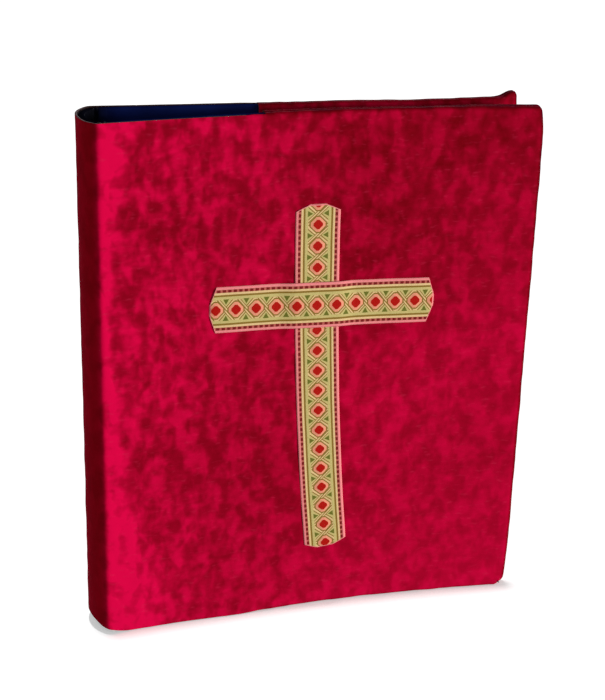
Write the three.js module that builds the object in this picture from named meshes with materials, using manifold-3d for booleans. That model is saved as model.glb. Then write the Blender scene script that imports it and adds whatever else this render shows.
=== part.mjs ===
// A loose-leaf prayer book: an A4 ring binder in a velvet slipcover with a woven cross, closed and
// standing upright. Millimetres, +Z up. X runs from the rounded spine (-X) to the fore edge (+X), the
// front cover faces -Y, and the origin is the centre of the bottom edge.
import * as THREE from 'three';
import { mergeVertices } from 'three/addons/utils/BufferGeometryUtils.js';
import Module from 'manifold-3d';

const wasm = await Module();
wasm.setup();

// Overall size
const HEIGHT = 320;
const SPINE_APEX_X = -135;
const FORE_X = 134.3; // outer corner of a cover; its inner corner leans out to 135
const HALF_THICK_SPINE = 18.5;
const HALF_THICK_FORE = 15;
const GAP = 0.3; // between pieces that rest on each other

// Rounded spine: an arc that meets both covers at a sharp crease
const SPINE_RADIUS = 21;
const SPINE_CENTRE_X = SPINE_APEX_X + SPINE_RADIUS;
const CREASE_ANGLE = Math.asin(HALF_THICK_SPINE / SPINE_RADIUS);
const CREASE_X = SPINE_CENTRE_X - SPINE_RADIUS * Math.cos(CREASE_ANGLE);

// Covers: each bows inward between its crease and its fore edge
const FRONT_SAG = 7;
const BACK_SAG = 4;
const CORNER_RADIUS = 5;
const VELVET_START = 0.9;
const FILM_START = 2.5;
const BOARD_START = 5;

// Layers, as depths from the outer face
const VELVET = [0, 1.2];
const FILM = [1.45, 1.85];
const BOARD = [2.1, 4.3];
const LINING = [4.55, 5.05];
const POCKET_DEPTH = 6.55; // inner face of the pocket flap
const FLAP = 1.2;
const POCKET_X = -30; // where the flap begins
const SPINE_BOARD = [2.1, 4.1];
const SPINE_LINING = [4.35, 4.85];
const SKIN_INSET = 2; // film, board and lining stop short of the velvet's top and bottom

// Woven cross on the front cover, drawn on the cover's own face from its crease
const BRAID = 1.4;
const BRAID_WIDTH = 27;
const CROSS_BAR_WIDTH = 28.4;
const BRAID_TIP = 4; // how far the folded end reaches past its shoulders
const UPRIGHT_TIP = 9; // width left at a folded end
const BAR_TIP = 6;
const BAND_STEP = 16; // spacing of the points along a band's edges
// The upright starts plumb at the top and drifts toward the fore edge; the bar leans down a little.
const UPRIGHT_LINE = new THREE.QuadraticBezierCurve(
  new THREE.Vector2(137.7, 40.5),
  new THREE.Vector2(126, 153.2),
  new THREE.Vector2(126, 266),
);
const BAR_LINE = new THREE.LineCurve(new THREE.Vector2(61.4, 205.7), new THREE.Vector2(199.6, 202.8));

// Ring mechanism
const RING_X = -117.6;
const RING_RADIUS = 9.3;
const WIRE_RADIUS = 1.3;
const RING_Z = [40, 120, 200, 280];
const RING_FOOT_ANGLE = THREE.MathUtils.degToRad(152);
const PLATE_BASE_X = -127.45;
const PLATE_CROWN = 4.05;
const PLATE_HALF = 8.4;
const PLATE_WALL = 0.8;
const PLATE_Z = [22, 298];
const NOTCH_HALF = 2;
const NOTCH_INNER_Y = 2.4;
const RAIL_X = [-127.6, -126.7];
const RAIL_Y = [0.2, 6.2];
const RAIL_Z = [29, 291];
const RIVET_Z = [80, 240];
const RIVET_SHANK = 1.7;
const RIVET_FLANGE = 3.5;
const RIVET_HEAD = 3;
const RIVET_X = [-133.2, -122.6];
const LEVER_PIVOT = [-126.9, 24];
const LEVER_WIDTH = 6;
const PIN_RADIUS = 0.8;
const PIN_LENGTH = 14;

// Sheets, punched for the four rings
const HOLE_RADIUS = 3.25;
const HOLE_X = RING_X + 10.1;
const HOLE_MARGIN = 10; // from the hole's centre to the sheet's edge
const SHEET_X = [HOLE_X - HOLE_MARGIN, HOLE_X - HOLE_MARGIN + 210];
const SHEET_Z = [11.5, 308.5];
const SHEET_Y = {
  title_leaf: [-2.6, -2.3],
  front_pages: [-2.0, 0.45],
  back_pages: [1.1, 3.4],
  end_leaf: [3.7, 4.0],
};

const ARC_SEGMENTS = 12;

const FINISHES = {
  velvet: { color: 0xa80329, roughness: 0.95, metalness: 0 },
  film: { color: 0x101a45, roughness: 0.4, metalness: 0 },
  board: { color: 0x5c4c42, roughness: 0.9, metalness: 0 },
  lining: { color: 0x0a1038, roughness: 0.55, metalness: 0 },
  braid: { color: 0xc8b868, roughness: 0.6, metalness: 0.2 },
  steel: { color: 0xc4c6c8, roughness: 0.25, metalness: 1 },
  paper: { color: 0xf2ede0, roughness: 0.95, metalness: 0 },
};

function piece(name, geometry, finish) {
  const mesh = new THREE.Mesh(geometry, new THREE.MeshStandardMaterial(FINISHES[finish]));
  mesh.name = name;
  return mesh;
}

// Booleans: a closed three.js geometry becomes a solid, and a solid becomes a geometry again.

function solid(geometry) {
  const bare = geometry.clone();
  bare.deleteAttribute('normal');
  bare.deleteAttribute('uv');
  const merged = mergeVertices(bare, 1e-4);
  const triVerts = Uint32Array.from(merged.index.array);
  const vertProperties = Float32Array.from(merged.attributes.position.array);
  return new wasm.Manifold(new wasm.Mesh({ numProp: 3, vertProperties, triVerts }));
}

function geometryOf(body) {
  const mesh = body.getMesh();
  const geometry = new THREE.BufferGeometry();
  geometry.setAttribute('position', new THREE.BufferAttribute(mesh.vertProperties, 3));
  geometry.setIndex(new THREE.BufferAttribute(mesh.triVerts, 1));
  return geometry;
}

// Plain shapes

function box([x0, x1], [y0, y1], [z0, z1]) {
  const geometry = new THREE.BoxGeometry(x1 - x0, y1 - y0, z1 - z0);
  return geometry.translate((x0 + x1) / 2, (y0 + y1) / 2, (z0 + z1) / 2);
}

function rodAlongX(radius, [x0, x1], y, z) {
  const geometry = new THREE.CylinderGeometry(radius, radius, x1 - x0, 24);
  return geometry.rotateZ(Math.PI / 2).translate((x0 + x1) / 2, y, z);
}

function rodAlongY(radius, length, x, z) {
  return new THREE.CylinderGeometry(radius, radius, length, 20).translate(x, 0, z);
}

function upright(shape, [z0, z1], curveSegments = ARC_SEGMENTS) {
  const settings = { depth: z1 - z0, bevelEnabled: false, curveSegments };
  return new THREE.ExtrudeGeometry(shape, settings).translate(0, 0, z0);
}

// An outline drawn in X and Z, made thick along Y
function elevation(shape, [y0, y1], curveSegments = 6) {
  const settings = { depth: y1 - y0, bevelEnabled: false, curveSegments };
  return new THREE.ExtrudeGeometry(shape, settings).rotateX(Math.PI / 2).translate(0, y1, 0);
}

function polygon(points) {
  return new THREE.Shape(points.map(([x, y]) => new THREE.Vector2(x, y)));
}

// Spine layers: sectors of a tube about the spine's centre line

function spineLayer([depth0, depth1], shortening, inset) {
  const outer = SPINE_RADIUS - depth0;
  const inner = SPINE_RADIUS - depth1;
  const half = CREASE_ANGLE - shortening / SPINE_RADIUS;
  const shape = new THREE.Shape();
  shape.absarc(SPINE_CENTRE_X, 0, outer, Math.PI - half, Math.PI + half, false);
  shape.absarc(SPINE_CENTRE_X, 0, inner, Math.PI + half, Math.PI - half, true);
  return upright(shape, [inset, HEIGHT - inset]);
}

function rivetHoles(geometry, radius) {
  return RIVET_Z.reduce(
    (body, z) => body.subtract(solid(rodAlongX(radius, [SPINE_APEX_X, RING_X], 0, z))),
    solid(geometry),
  );
}

function flangeRecesses(body) {
  const depth = [SPINE_APEX_X, RIVET_X[0] + 0.9];
  return RIVET_Z.reduce(
    (cut, z) => cut.subtract(solid(rodAlongX(RIVET_FLANGE + GAP, depth, 0, z))),
    body,
  );
}

function spinePieces() {
  const film = rivetHoles(spineLayer(FILM, 1, SKIN_INSET), RIVET_FLANGE + GAP);
  const board = flangeRecesses(rivetHoles(spineLayer(SPINE_BOARD, 1.2, SKIN_INSET), RIVET_SHANK + GAP));
  const lining = rivetHoles(spineLayer(SPINE_LINING, 1.2, SKIN_INSET), RIVET_SHANK + GAP);
  return [
    piece('spine_velvet', spineLayer(VELVET, GAP, 0), 'velvet'),
    piece('spine_film', geometryOf(film), 'film'),
    piece('spine_board', geometryOf(board), 'board'),
    piece('spine_lining', geometryOf(lining), 'lining'),
  ];
}

// A cover in its own frame: the crease is the origin, x runs along the chord to the fore edge, y goes
// inward and z up. The outer face is an arc through both ends, bowed inward by the sag.

const CHORD_RISE = HALF_THICK_SPINE - HALF_THICK_FORE;
const CHORD = Math.hypot(FORE_X - CREASE_X, CHORD_RISE);
const COVER_TILT = Math.atan2(CHORD_RISE, FORE_X - CREASE_X);

class CoverFace {
  constructor(sag) {
    this.radius = (CHORD ** 2 / 4 + sag ** 2) / (2 * sag);
    this.centre = [CHORD / 2, sag - this.radius];
    this.halfAngle = Math.asin(CHORD / 2 / this.radius);
    this.length = 2 * this.halfAngle * this.radius;
  }

  angleAt(distance) {
    return Math.PI / 2 + this.halfAngle - distance / this.radius;
  }

  // A curved sheet between two depths and two distances from the crease
  sheet([start, end], [depth0, depth1], [z0, z1]) {
    const [cx, cy] = this.centre;
    const shape = new THREE.Shape();
    const [a, b] = [this.angleAt(start), this.angleAt(end)];
    shape.absarc(cx, cy, this.radius + depth0, a, b, true);
    shape.absarc(cx, cy, this.radius + depth1, b, a, false);
    return upright(shape, [z0, z1]);
  }
}

function roundedFace(inset) {
  const [x0, x1] = [-5, CHORD + 1 - inset];
  const [z0, z1] = [inset, HEIGHT - inset];
  const r = CORNER_RADIUS;
  const shape = new THREE.Shape();
  shape.moveTo(x0, z0);
  shape.lineTo(x1 - r, z0);
  shape.absarc(x1 - r, z0 + r, r, -Math.PI / 2, 0, false);
  shape.absarc(x1 - r, z1 - r, r, 0, Math.PI / 2, false);
  shape.lineTo(x0, z1);
  return solid(elevation(shape, [-5, 25]));
}

// The slipcover's cover: the outer velvet with a pocket turned over the top, bottom and fore edge
function velvetPouch(face) {
  const pocketStart = POCKET_X - CREASE_X;
  const full = [0, HEIGHT];
  const inside = [FLAP, HEIGHT - FLAP];
  const outer = solid(face.sheet([VELVET_START, face.length], VELVET, full));
  const block = solid(face.sheet([pocketStart, face.length], [0, POCKET_DEPTH], full));
  const hollow = [VELVET[1], POCKET_DEPTH - FLAP];
  const cavity = solid(face.sheet([pocketStart - 5, face.length - FLAP], hollow, inside));
  return outer.add(block).subtract(cavity).intersect(roundedFace(0));
}

function skin(face, start, depths) {
  const sheet = solid(face.sheet([start, face.length - SKIN_INSET], depths, [0, HEIGHT]));
  return sheet.intersect(roundedFace(SKIN_INSET));
}

function coverPieces(side, face) {
  return [
    piece(`${side}_velvet_pouch`, geometryOf(velvetPouch(face)), 'velvet'),
    piece(`${side}_film`, geometryOf(skin(face, FILM_START, FILM)), 'film'),
    piece(`${side}_board`, geometryOf(skin(face, BOARD_START, BOARD)), 'board'),
    piece(`${side}_lining`, geometryOf(skin(face, BOARD_START - 1, LINING)), 'lining'),
  ];
}

// A band along a centreline, with its corners folded back to a short tip at each end
function bandOutline(centreline, width, tipWidth) {
  const steps = Math.round(centreline.getLength() / BAND_STEP);
  const beside = (t, offset) => {
    const along = centreline.getTangentAt(t);
    const across = new THREE.Vector2(-along.y, along.x);
    return centreline.getPointAt(t).addScaledVector(across, offset);
  };
  const shoulder = BRAID_TIP / centreline.getLength();
  const edge = (side) => Array.from({ length: steps + 1 }, (_, i) => (
    beside(shoulder + (1 - 2 * shoulder) * (i / steps), side * width / 2)
  ));
  return new THREE.Shape([
    beside(0, -tipWidth / 2),
    ...edge(-1),
    beside(1, -tipWidth / 2),
    beside(1, tipWidth / 2),
    ...edge(1).reverse(),
    beside(0, tipWidth / 2),
  ]);
}

function crossPieces(face) {
  const slab = (near, far) => solid(face.sheet([0, face.length], [-far, -near], [0, HEIGHT]));
  const band = (line, width, tip) => solid(elevation(bandOutline(line, width, tip), [-10, 25]));
  const under = [GAP, GAP + BRAID];
  const over = [under[1] + GAP, under[1] + GAP + BRAID];
  const bar = band(BAR_LINE, CROSS_BAR_WIDTH, BAR_TIP);
  const post = band(UPRIGHT_LINE, BRAID_WIDTH, UPRIGHT_TIP).intersect(slab(...under));
  const step = band(UPRIGHT_LINE, BRAID_WIDTH + 2 * BRAID, UPRIGHT_TIP);
  const tunnel = band(UPRIGHT_LINE, BRAID_WIDTH + 2 * GAP, UPRIGHT_TIP).intersect(slab(0, over[0]));
  const flat = bar.intersect(slab(...under));
  const bridge = bar.intersect(step).intersect(slab(under[0], over[1]));
  return [
    piece('braid_vertical', geometryOf(post), 'braid'),
    piece('braid_horizontal', geometryOf(flat.add(bridge).subtract(tunnel)), 'braid'),
  ];
}

// Both covers are built alike; the back one is turned over about X.
function frontCover() {
  const face = new CoverFace(FRONT_SAG);
  const group = new THREE.Group();
  group.position.set(CREASE_X, -HALF_THICK_SPINE, 0);
  group.rotation.z = COVER_TILT;
  return group.add(...coverPieces('front', face), ...crossPieces(face));
}

function backCover() {
  const group = new THREE.Group();
  group.position.set(CREASE_X, HALF_THICK_SPINE, HEIGHT);
  group.rotation.set(Math.PI, 0, COVER_TILT);
  return group.add(...coverPieces('back', new CoverFace(BACK_SAG)));
}

// Ring mechanism

function ringCoverPlate() {
  const inner = [PLATE_CROWN - PLATE_WALL, PLATE_HALF - PLATE_WALL];
  const shape = new THREE.Shape();
  const quarter = Math.PI / 2;
  shape.absellipse(PLATE_BASE_X, 0, PLATE_CROWN, PLATE_HALF, -quarter, quarter, false);
  shape.absellipse(PLATE_BASE_X, 0, ...inner, quarter, -quarter, true);
  let plate = solid(upright(shape, PLATE_Z));
  for (const z of RING_Z) {
    for (const side of [-1, 1]) {
      const reach = [side * NOTCH_INNER_Y, side * (PLATE_HALF + 1)].sort((a, b) => a - b);
      const notch = box([PLATE_BASE_X - 1, RING_X], reach, [z - NOTCH_HALF, z + NOTCH_HALF]);
      plate = plate.subtract(solid(notch));
    }
  }
  for (const z of RIVET_Z) {
    plate = plate.subtract(solid(rodAlongX(RIVET_SHANK + GAP, [PLATE_BASE_X, RING_X], 0, z)));
  }
  return piece('ring_cover_plate', geometryOf(plate), 'steel');
}

// A rivet from the flange under the spine's film to the domed head on the cover plate
function rivet(name, z) {
  const length = RIVET_X[1] - RIVET_X[0];
  const headBase = PLATE_BASE_X + PLATE_CROWN + GAP / 2 - RIVET_X[0];
  const profile = [
    [0, 0],
    [RIVET_FLANGE, 0],
    [RIVET_FLANGE, 0.6],
    [RIVET_SHANK, 0.6],
    [RIVET_SHANK, headBase],
    [RIVET_HEAD, headBase],
    [RIVET_HEAD * 0.8, length - 0.1],
    [0, length],
  ];
  const points = profile.map(([r, h]) => new THREE.Vector2(r, h));
  const mesh = piece(name, new THREE.LatheGeometry(points, 24), 'steel');
  mesh.rotation.z = -Math.PI / 2;
  mesh.position.set(RIVET_X[0], 0, z);
  return mesh;
}

function rail(side) {
  const reach = RAIL_Y.map((y) => side * y).sort((a, b) => a - b);
  let strip = solid(box(RAIL_X, reach, RAIL_Z));
  for (const z of RIVET_Z) {
    const clearance = rodAlongX(RIVET_SHANK + 1.2, [RAIL_X[0] - 1, RAIL_X[1] + 1], 0, z);
    strip = strip.subtract(solid(clearance));
  }
  return geometryOf(strip);
}

class HalfRingPath extends THREE.Curve {
  constructor(side) {
    super();
    this.side = side;
  }

  getPoint(t, target = new THREE.Vector3()) {
    const tip = GAP / 2 / RING_RADIUS;
    const angle = tip + (RING_FOOT_ANGLE - tip) * t;
    return target.set(
      RING_X + RING_RADIUS * Math.cos(angle),
      this.side * RING_RADIUS * Math.sin(angle),
      0,
    );
  }
}

// Half a ring with a short foot that stands on its rail
function halfRing(side) {
  const section = new THREE.Shape();
  section.absarc(0, 0, WIRE_RADIUS, 0, 2 * Math.PI, false);
  const settings = { steps: 16, extrudePath: new HalfRingPath(side), curveSegments: 5, bevelEnabled: false };
  const wire = solid(new THREE.ExtrudeGeometry(section, settings));
  const footX = RING_X + RING_RADIUS * Math.cos(RING_FOOT_ANGLE);
  const footY = side * RING_RADIUS * Math.sin(RING_FOOT_ANGLE);
  const foot = rodAlongX(WIRE_RADIUS, [RAIL_X[0], footX + 1], footY, 0);
  const belowFoot = box([RAIL_X[0] - 1, RAIL_X[1] + GAP / 2], [-20, 20], [-5, 5]);
  return geometryOf(wire.add(solid(foot)).subtract(solid(belowFoot)));
}

function railGroup(side, label) {
  const group = new THREE.Group();
  group.add(piece(`${label}_rail`, rail(side), 'steel'));
  RING_Z.forEach((z, i) => {
    const half = piece(`${label}_ring_half_${i + 1}`, halfRing(side), 'steel');
    half.position.z = z;
    group.add(half);
  });
  return group;
}

// The lower lever: a nose under the rails, a pivot hole, and a thumb tab below the sheets
function leverGeometry() {
  const outline = polygon([
    [-129.6, 30.5],
    [-129.6, 26.5],
    [-128.7, 21.5],
    [-126.2, 13],
    [-125.4, 9],
    [-114.5, 7.6],
    [-114.5, 8.8],
    [-123.6, 10.2],
    [-125, 21],
    [-125.2, 26],
    [-128.3, 28],
    [-128.9, 30.5],
  ]);
  const half = LEVER_WIDTH / 2;
  const body = solid(elevation(outline, [-half, half]));
  const [x, z] = LEVER_PIVOT;
  return geometryOf(body.subtract(solid(rodAlongY(PIN_RADIUS + GAP, LEVER_WIDTH + 2, x, z))));
}

function leverEnd(label, turnedOver) {
  const group = new THREE.Group();
  const [x, z] = LEVER_PIVOT;
  group.add(
    piece(`${label}_lever`, leverGeometry(), 'steel'),
    piece(`${label}_lever_pin`, rodAlongY(PIN_RADIUS, PIN_LENGTH, x, z), 'steel'),
  );
  if (turnedOver) {
    group.rotation.x = Math.PI;
    group.position.z = HEIGHT;
  }
  return group;
}

// Sheets: a block of paper with four round holes for the rings
function sheetBlock(thickness) {
  const [x0, x1] = SHEET_X;
  const [z0, z1] = SHEET_Z;
  const shape = polygon([[x0, z0], [x1, z0], [x1, z1], [x0, z1]]);
  for (const z of RING_Z) {
    const hole = new THREE.Path();
    hole.absarc(HOLE_X, z, HOLE_RADIUS, 0, 2 * Math.PI, true);
    shape.holes.push(hole);
  }
  return elevation(shape, thickness, 10);
}

const group = new THREE.Group();
group.add(
  ...spinePieces(),
  ringCoverPlate(),
  rivet('lower_rivet', RIVET_Z[0]),
  rivet('upper_rivet', RIVET_Z[1]),
  railGroup(-1, 'front'),
  railGroup(1, 'back'),
  leverEnd('lower', false),
  leverEnd('upper', true),
  frontCover(),
  backCover(),
  ...Object.entries(SHEET_Y).map(([name, depths]) => piece(name, sheetBlock(depths), 'paper')),
);

export default group;
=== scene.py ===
"""Looks for the loose-leaf prayer book: a velvet slipcover with a woven cross on a blue ring binder.

Lengths in the shape code are millimetres, and become metres when a mesh is made.
A point on a cover is (s, d, z): s runs along the cloth from the crease to the fore edge (negative on the
spine), d is the depth inward from the outer face and z is the height.
"""

import math

import bpy
import numpy as np
from mathutils import Matrix, Vector, noise


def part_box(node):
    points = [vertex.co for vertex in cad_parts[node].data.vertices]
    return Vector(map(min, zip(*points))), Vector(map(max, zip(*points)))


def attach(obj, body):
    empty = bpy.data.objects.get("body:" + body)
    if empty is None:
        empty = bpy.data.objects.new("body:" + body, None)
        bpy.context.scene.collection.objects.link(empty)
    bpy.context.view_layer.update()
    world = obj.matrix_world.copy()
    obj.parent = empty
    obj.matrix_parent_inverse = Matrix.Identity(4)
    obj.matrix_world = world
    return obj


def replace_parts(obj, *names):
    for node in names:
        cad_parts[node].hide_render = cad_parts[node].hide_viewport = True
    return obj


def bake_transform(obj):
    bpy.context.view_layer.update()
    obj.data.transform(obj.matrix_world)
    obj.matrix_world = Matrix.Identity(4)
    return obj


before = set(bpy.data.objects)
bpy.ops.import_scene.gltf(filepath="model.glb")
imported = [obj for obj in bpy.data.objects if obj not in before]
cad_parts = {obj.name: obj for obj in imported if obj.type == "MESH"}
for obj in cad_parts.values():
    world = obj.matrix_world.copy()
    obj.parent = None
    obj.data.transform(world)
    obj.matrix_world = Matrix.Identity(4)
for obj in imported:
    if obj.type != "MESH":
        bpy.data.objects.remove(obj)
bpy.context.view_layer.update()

MM = 0.001
FRONT, BACK = -1, 1
SIDE_NAME = {FRONT: "front", BACK: "back"}

# The model's own dimensions, as in the CAD
HEIGHT = 320
MIDDLE = HEIGHT / 2
SPINE_CENTRE_X = -114
SPINE_RADIUS = 21
HALF_THICK_SPINE = 18.5
HALF_THICK_FORE = 15
FORE_X = 134.3
CREASE_ANGLE = math.asin(HALF_THICK_SPINE / SPINE_RADIUS)
CREASE_X = SPINE_CENTRE_X - SPINE_RADIUS * math.cos(CREASE_ANGLE)
SPINE_HALF = SPINE_RADIUS * CREASE_ANGLE
CHORD_RISE = HALF_THICK_SPINE - HALF_THICK_FORE
CHORD = math.hypot(FORE_X - CREASE_X, CHORD_RISE)
COVER_TILT = math.atan2(CHORD_RISE, FORE_X - CREASE_X)
SAG = {FRONT: 7, BACK: 4}
POCKET_X = -30
POCKET_START = POCKET_X - CREASE_X
POCKET_DEPTH = 6.55
VELVET = 1.1
FILM_DEPTH = 1.45
LINING_DEPTH = 5.05

RING_X = -117.6
RING_RADIUS = 9.3
WIRE_RADIUS = 1.3
RING_Z = (40, 120, 200, 280)
RING_FOOT_ANGLE = math.radians(152)
RIVET_Z = {"lower_rivet": 80, "upper_rivet": 240}
RIVET_FOOT_X = -133.2
RAIL_TOP_X = -126.7
PLATE_BASE_X = -127.45
PLATE_CROWN = 4.05
PLATE_HALF = 8.4
PLATE_WALL = 0.8
PLATE_Z = (22, 298)
NOTCH_HALF = 2  # the plate's slots for the ring halves, from z - NOTCH_HALF to z + NOTCH_HALF
NOTCH_INNER_Y = 2.4
HOLE_RADIUS = 3.25
HOLE_MARGIN = 10


# ---- meshes


def new_object(name, data):
    obj = bpy.data.objects.new(name, data)
    bpy.context.scene.collection.objects.link(obj)
    return obj


def make_object(name, points, faces, materials, smooth=True, **attributes):
    """A mesh object from points in millimetres. Attributes are vectors on its points, for the shaders."""
    mesh = bpy.data.meshes.new(name)
    mesh.from_pydata((np.asarray(points) * MM).tolist(), [], [list(f) for f in faces])
    for material in materials:
        mesh.materials.append(material)
    mesh.polygons.foreach_set("use_smooth", [smooth] * len(mesh.polygons))
    for key, values in attributes.items():
        layer = mesh.attributes.new(key, "FLOAT_VECTOR", "POINT")
        layer.data.foreach_set("vector", np.asarray(values, np.float32).ravel())
    mesh.update()
    return new_object(name, mesh)


def evaluated_mesh(obj):
    graph = bpy.context.evaluated_depsgraph_get()
    return bpy.data.meshes.new_from_object(obj.evaluated_get(graph))


def thicken(obj, thickness, cut_slot=0):
    """Gives a sheet its thickness, away from its outer face. The inside and the cut take cut_slot."""
    solid = obj.modifiers.new("thickness", "SOLIDIFY")
    solid.thickness = thickness * MM
    solid.offset = -1
    solid.use_even_offset = False
    solid.material_offset = cut_slot
    solid.material_offset_rim = cut_slot
    mesh = evaluated_mesh(obj)
    obj.modifiers.clear()
    obj.data = mesh


def grid_quads(rows, columns, flip=False):
    """Faces over a grid of points numbered row by row."""
    grid = np.arange(rows * columns).reshape(rows, columns)
    corners = [grid[:-1, :-1], grid[1:, :-1], grid[1:, 1:], grid[:-1, 1:]]
    if flip:
        corners = corners[:1] + corners[:0:-1]
    return np.stack(corners, axis=-1).reshape(-1, 4).tolist()


def ring_quads(rings, segments, capped=True):
    """Faces from ring to ring of a turned or swept form, with its two ends closed."""
    faces = []
    for start in range(0, (rings - 1) * segments, segments):
        for j in range(segments):
            a, b = start + j, start + (j + 1) % segments
            faces.append((a, b, b + segments, a + segments))
    if capped:
        faces.append(tuple(range(segments - 1, -1, -1)))
        faces.append(tuple(range((rings - 1) * segments, rings * segments)))
    return faces


def full_turn(segments):
    return np.linspace(0, 2 * math.pi, segments, endpoint=False)


def smoothstep(low, high, x):
    t = np.clip((np.asarray(x, float) - low) / (high - low), 0, 1)
    return t * t * (3 - 2 * t)


def edge_lines(low, high, step, radius, low_edge=True):
    """Grid lines from low to high, drawn closer together within radius of the rounded ends."""
    near = radius * (1 - np.cos(np.linspace(0, math.pi / 2, 5)[:-1]))
    start = low + radius if low_edge else low
    count = max(2, round((high - radius - start) / step) + 1)
    middle = np.linspace(start, high - radius, count)
    ends = [low + near] if low_edge else []
    return np.concatenate([*ends, middle, (high - near)[::-1]])


class BoxSurface:
    """Quads over faces of a box in (s, d, z), whose shared corners are made once."""

    def __init__(self, s, d, z):
        self.lines = (s, d, z)
        self.index = {}
        self.faces = []

    def add(self, axis, at_end, s_from=0):
        """The face across an axis at its low or high end, from grid line s_from on."""
        others = [a for a in range(3) if a != axis]
        fixed = len(self.lines[axis]) - 1 if at_end else 0
        first = [s_from if a == 0 else 0 for a in others]
        outward = (axis != 1) == at_end
        for i in range(first[0], len(self.lines[others[0]]) - 1):
            for j in range(first[1], len(self.lines[others[1]]) - 1):
                quad = []
                for a, b in ((i, j), (i + 1, j), (i + 1, j + 1), (i, j + 1)):
                    key = [0, 0, 0]
                    key[axis], key[others[0]], key[others[1]] = fixed, a, b
                    quad.append(self.index.setdefault(tuple(key), len(self.index)))
                self.faces.append(quad if outward else quad[::-1])

    def points(self):
        keys = np.array(list(self.index))
        return np.stack([self.lines[a][keys[:, a]] for a in range(3)], axis=1)


def round_edges(points, low, high, radius):
    """Points on a box pulled onto the fillets of its edges, and the outward direction at each."""
    low, high, radius = (np.broadcast_to(v, points.shape) for v in (low, high, radius))
    core = np.clip(points, low + radius, high - radius)
    away = points - core
    share = away / np.maximum(radius, 1e-3)
    length = np.maximum(np.linalg.norm(share, axis=1, keepdims=True), 1e-9)
    return core + away / length, share / length


def wave(points, pitch, shift):
    """Smooth noise from -1 to 1 at points in cloth millimetres, with waves about two pitches long."""
    return np.array([noise.noise(Vector(p) / pitch + shift) for p in points.tolist()])


# ---- the book's plan


class Outline:
    """The plan of one half of the book, from the spine's apex round the crease to the fore edge.
    The cloth lies flatter over the spine than the boards, so its crease stands a little further out."""

    CREASE_SOFTNESS = 1.1
    STEP = 0.25
    CLOTH_SPINE_RADIUS = 23.0

    def __init__(self, side, cloth=False):
        self.side = side
        self.spine_radius = self.CLOTH_SPINE_RADIUS if cloth else SPINE_RADIUS
        self.crease_angle = math.asin(HALF_THICK_SPINE / self.spine_radius)
        self.spine_centre = SPINE_CENTRE_X - SPINE_RADIUS + self.spine_radius
        crease_x = self.spine_centre - self.spine_radius * math.cos(self.crease_angle)
        self.crease_shift = crease_x - CREASE_X
        sag = SAG[side]
        self.radius = (CHORD**2 / 4 + sag**2) / (2 * sag)
        self.half_angle = math.asin(CHORD / 2 / self.radius)
        self.length = 2 * self.half_angle * self.radius
        self.sag = sag
        self.s = np.arange(-SPINE_HALF - 8, self.length + 8, self.STEP)
        reach = np.arange(-5, 5 + self.STEP / 2, self.STEP)
        weights = np.exp(-0.5 * (reach / self.CREASE_SOFTNESS) ** 2)
        weights /= weights.sum()
        sharp = self.sharp_plan(self.s)
        pad = len(reach) // 2
        self.plan = sharp.copy()
        for axis in range(2):
            self.plan[pad:-pad, axis] = np.convolve(sharp[:, axis], weights, "valid")
        slope = np.gradient(self.plan, axis=0)
        slope /= np.linalg.norm(slope, axis=1, keepdims=True)
        self.inward = np.stack([slope[:, 1], -slope[:, 0]], axis=1) * side

    def sharp_plan(self, s):
        angle = self.crease_angle * (1 + s / SPINE_HALF)
        spine_x = self.spine_centre - self.spine_radius * np.cos(angle)
        spine_y = self.spine_radius * np.sin(angle)
        turn = math.pi / 2 + self.half_angle - s / self.radius
        run = CHORD / 2 + self.radius * np.cos(turn)
        rise = self.sag - self.radius + self.radius * np.sin(turn)
        cos, sin = math.cos(COVER_TILT), math.sin(COVER_TILT)
        x = CREASE_X + run * cos - rise * sin + self.crease_shift * (1 - smoothstep(0, 18, s))
        y = HALF_THICK_SPINE - run * sin - rise * cos
        x, y = np.where(s < 0, (spine_x, spine_y), (x, y))
        return np.stack([x, self.side * y], axis=1)

    def place(self, points):
        """Points (s, d, z) as x, y, z."""
        s, d, z = points.T
        plan, inward = (
            np.array([np.interp(s, self.s, column) for column in table.T])
            for table in (self.plan, self.inward)
        )
        return np.stack([*(plan + d * inward), z], axis=1)

    def s_at(self, x):
        """Distance along the cloth of a point x along the cover's chord."""
        turn = np.arccos((np.asarray(x, float) - CHORD / 2) / self.radius)
        return (math.pi / 2 + self.half_angle - turn) * self.radius

    def faces(self, quads):
        """The back half is a mirror image, so its faces turn the other way."""
        return quads if self.side == FRONT else [q[::-1] for q in quads]

    def cloth(self, points):
        """Coordinates in the cloth, in metres, continuous over the spine's apex."""
        s, d, z = points.T
        return np.stack([self.side * (s + SPINE_HALF), z, d], axis=1) * MM


OUTLINES = {side: Outline(side) for side in (FRONT, BACK)}
CLOTH_OUTLINES = {side: Outline(side, cloth=True) for side in (FRONT, BACK)}

# The back cover's cloth and board end short of the front's at the fore edge.
SHORT = {FRONT: 0.0, BACK: 3.8}


def settle(points):
    """The hem rises round the spine's foot, and the back of the spine stands proud at the top."""
    x, y, z = points.T
    foot = 5.8 * (1 - smoothstep(-137, -108, x)) ** 1.5 + 2.6 * (1 - smoothstep(-137, -128, x))
    foot = foot * (1 - smoothstep(0, 70, z))
    near_top = smoothstep(240, HEIGHT, z)
    head = 1.25 * smoothstep(-14, 6, y) * (1 - smoothstep(10, 70, x)) * near_top
    fore = 0.8 * (1 - smoothstep(-14, -6, y)) * smoothstep(85, 120, x) * near_top
    return np.stack([x, y, z + foot + head - fore], axis=1)


# ---- shaders


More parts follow.
